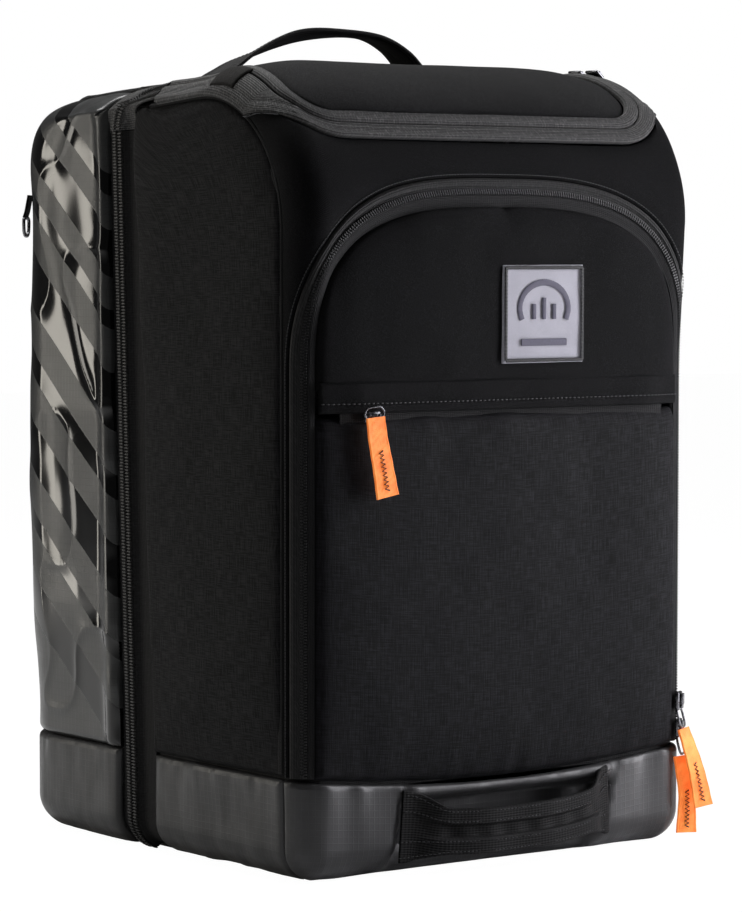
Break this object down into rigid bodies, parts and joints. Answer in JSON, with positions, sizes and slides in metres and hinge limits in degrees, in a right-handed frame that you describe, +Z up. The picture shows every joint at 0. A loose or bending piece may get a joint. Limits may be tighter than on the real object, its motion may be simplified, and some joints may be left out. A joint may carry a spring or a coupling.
{
  "type": "ski boot bag",
  "caption": "Upright soft bag for ski boots: zipped front section and arched pocket, top lid, clamshell boot section, carry handles and rear shoulder straps.",
  "frame": {"origin": "on the floor, at the middle of the flat base", "axes": "+Z up, the front pocket faces -Y, the harness +Y, +X to the right seen from the front"},
  "size_m": [0.3362, 0.3965, 0.5572],
  "materials": {
    "twill": "fine matte twill, black",
    "ripstop": "matte ripstop with a fine raised grid, black",
    "coated": "satin coated ripstop, dark grey",
    "gloss": "coated ripstop with large high-gloss shapes, black",
    "tape": "woven zip tape and coil, black",
    "webbing": "woven webbing, black",
    "mesh": "spacer mesh over foam, black",
    "lining": "plain lining, dark grey",
    "badge": "woven badge, light grey with a black stitched border",
    "buckle": "moulded, fine texture",
    "slider": "black nickel",
    "pull": "folded woven tape, bright orange"
  },
  "bodies": {
    "root": {"bottom_panel": "coated", "front_lower_band": "coated", "front_panel": "twill", "pocket_zip_frame_tape": "tape", "pocket_back_wall": "lining", "divider_panel": "lining", "lid_zip_frame_tape": "tape", "zip_garage": "twill", "bottom_handle_left_end": "webbing", "bottom_handle_right_end": "webbing", "left_gusset_panel": "ripstop", "right_gusset_panel": "ripstop", "left_gusset_lower": "coated", "right_gusset_lower": "coated", "left_zip_front_tape": "tape", "right_zip_front_tape": "tape"},
    "pocket_door": {"door_lower_panel": "ripstop", "door_upper_panel": "twill", "pocket_zip_door_tape": "tape", "slash_zip_tape": "tape", "slash_flap": "twill", "slash_lining": "lining", "badge_patch": "badge"},
    "slash_slider": {"slash_slider": "slider"},
    "slash_pull": {"slash_pull": "pull"},
    "pocket_slider_upper": {"pocket_slider_upper": "slider"},
    "pocket_pull_upper": {"pocket_pull_upper": "pull"},
    "pocket_slider_lower": {"pocket_slider_lower": "slider"},
    "pocket_pull_lower": {"pocket_pull_lower": "pull"},
    "main_slider_front": {"main_slider_front": "slider"},
    "main_slider_rear": {"main_slider_rear": "slider"},
    "boot_section": {"back_panel": "ripstop", "back_lower_band": "coated", "boot_top_panel": "ripstop", "back_pad": "mesh", "strap_yoke": "webbing", "top_handle_left_foot": "webbing", "top_handle_right_foot": "webbing", "left_boot_side": "gloss", "right_boot_side": "gloss", "left_boot_lower": "coated", "right_boot_lower": "coated", "left_zip_rear_tape": "tape", "right_zip_rear_tape": "tape", "left_lower_webbing": "webbing", "right_lower_webbing": "webbing", "left_ring_tab": "webbing", "right_ring_tab": "webbing"},
    "lid": {"lid_panel": "twill", "lid_zip_lid_tape": "tape"},
    "top_handle": {"top_handle_grip": "webbing"},
    "bottom_handle": {"bottom_handle_grip": "webbing"},
    "left_strap": {"left_shoulder_strap": "mesh", "left_ladder_lock": "buckle"},
    "right_strap": {"right_shoulder_strap": "mesh", "right_ladder_lock": "buckle"},
    "left_ring": {"left_ring": "slider"},
    "right_ring": {"right_ring": "slider"}
  },
  "joints": [
    {"name": "boot_section_hinge", "type": "hinge", "parent": "root", "child": "boot_section", "pos_m": [0, 0.172, 0.012], "axis": [-1, 0, 0], "range_deg": [0, 70]},
    {"name": "lid_hinge", "type": "hinge", "parent": "boot_section", "child": "lid", "pos_m": [0, 0.0265, 0.5235], "axis": [-1, 0, 0], "range_deg": [0, 95]},
    {"name": "pocket_door_hinge", "type": "hinge", "parent": "root", "child": "pocket_door", "pos_m": [0, -0.178, 0.066], "axis": [1, 0, 0], "range_deg": [0, 90]},
    {"name": "slash_zip", "type": "slide", "parent": "pocket_door", "child": "slash_slider", "axis": [1, 0, 0], "range_m": [0, 0.2]},
    {"name": "slash_pull_swing", "type": "hinge", "parent": "slash_slider", "child": "slash_pull", "pos_m": [-0.111, -0.1845, 0.2925], "axis": [-1, 0, 0], "range_deg": [0, 80]},
    {"name": "pocket_zip_upper", "type": "slide", "parent": "root", "child": "pocket_slider_upper", "axis": [0, 0, 1], "range_m": [0, 0.2]},
    {"name": "pocket_pull_upper_swing", "type": "hinge", "parent": "pocket_slider_upper", "child": "pocket_pull_upper", "pos_m": [0.15752, -0.18087, 0.08753], "axis": [-0.8295, -0.5585, 0], "range_deg": [0, 60]},
    {"name": "pocket_zip_lower", "type": "slide", "parent": "root", "child": "pocket_slider_lower", "axis": [0, 0, -1], "range_m": [0, 0.006]},
    {"name": "pocket_pull_lower_swing", "type": "hinge", "parent": "pocket_slider_lower", "child": "pocket_pull_lower", "pos_m": [0.15629, -0.17901, 0.06903], "axis": [0.5585, -0.8295, 0], "range_deg": [0, 60]},
    {"name": "main_zip_front", "type": "slide", "parent": "root", "child": "main_slider_front", "axis": [0, -1, 0], "range_m": [0, 0.012]},
    {"name": "main_zip_rear", "type": "slide", "parent": "root", "child": "main_slider_rear", "axis": [0, 0.9985, -0.0555], "range_m": [0, 0.06]},
    {"name": "top_handle_swing", "type": "hinge", "parent": "boot_section", "child": "top_handle", "pos_m": [0.0175, 0.0475, 0.5245], "axis": [1, 0, 0], "range_deg": [-20, 8]},
    {"name": "bottom_handle_pull", "type": "slide", "parent": "root", "child": "bottom_handle", "axis": [0, -1, 0], "range_m": [0, 0.012]},
    {"name": "left_strap_swing", "type": "hinge", "parent": "boot_section", "child": "left_strap", "pos_m": [-0.052, 0.1921, 0.432], "axis": [1, 0, 0], "range_deg": [0, 25]},
    {"name": "right_strap_swing", "type": "hinge", "parent": "boot_section", "child": "right_strap", "pos_m": [0.052, 0.1921, 0.432], "axis": [1, 0, 0], "range_deg": [0, 25]},
    {"name": "left_ring_swing", "type": "hinge", "parent": "boot_section", "child": "left_ring", "pos_m": [-0.15174, 0.16874, 0.424], "axis": [0.7071, 0.7071, 0], "range_deg": [0, 70]},
    {"name": "right_ring_swing", "type": "hinge", "parent": "boot_section", "child": "right_ring", "pos_m": [0.15174, 0.16874, 0.424], "axis": [0.7071, -0.7071, 0], "range_deg": [0, 70]}
  ]
}
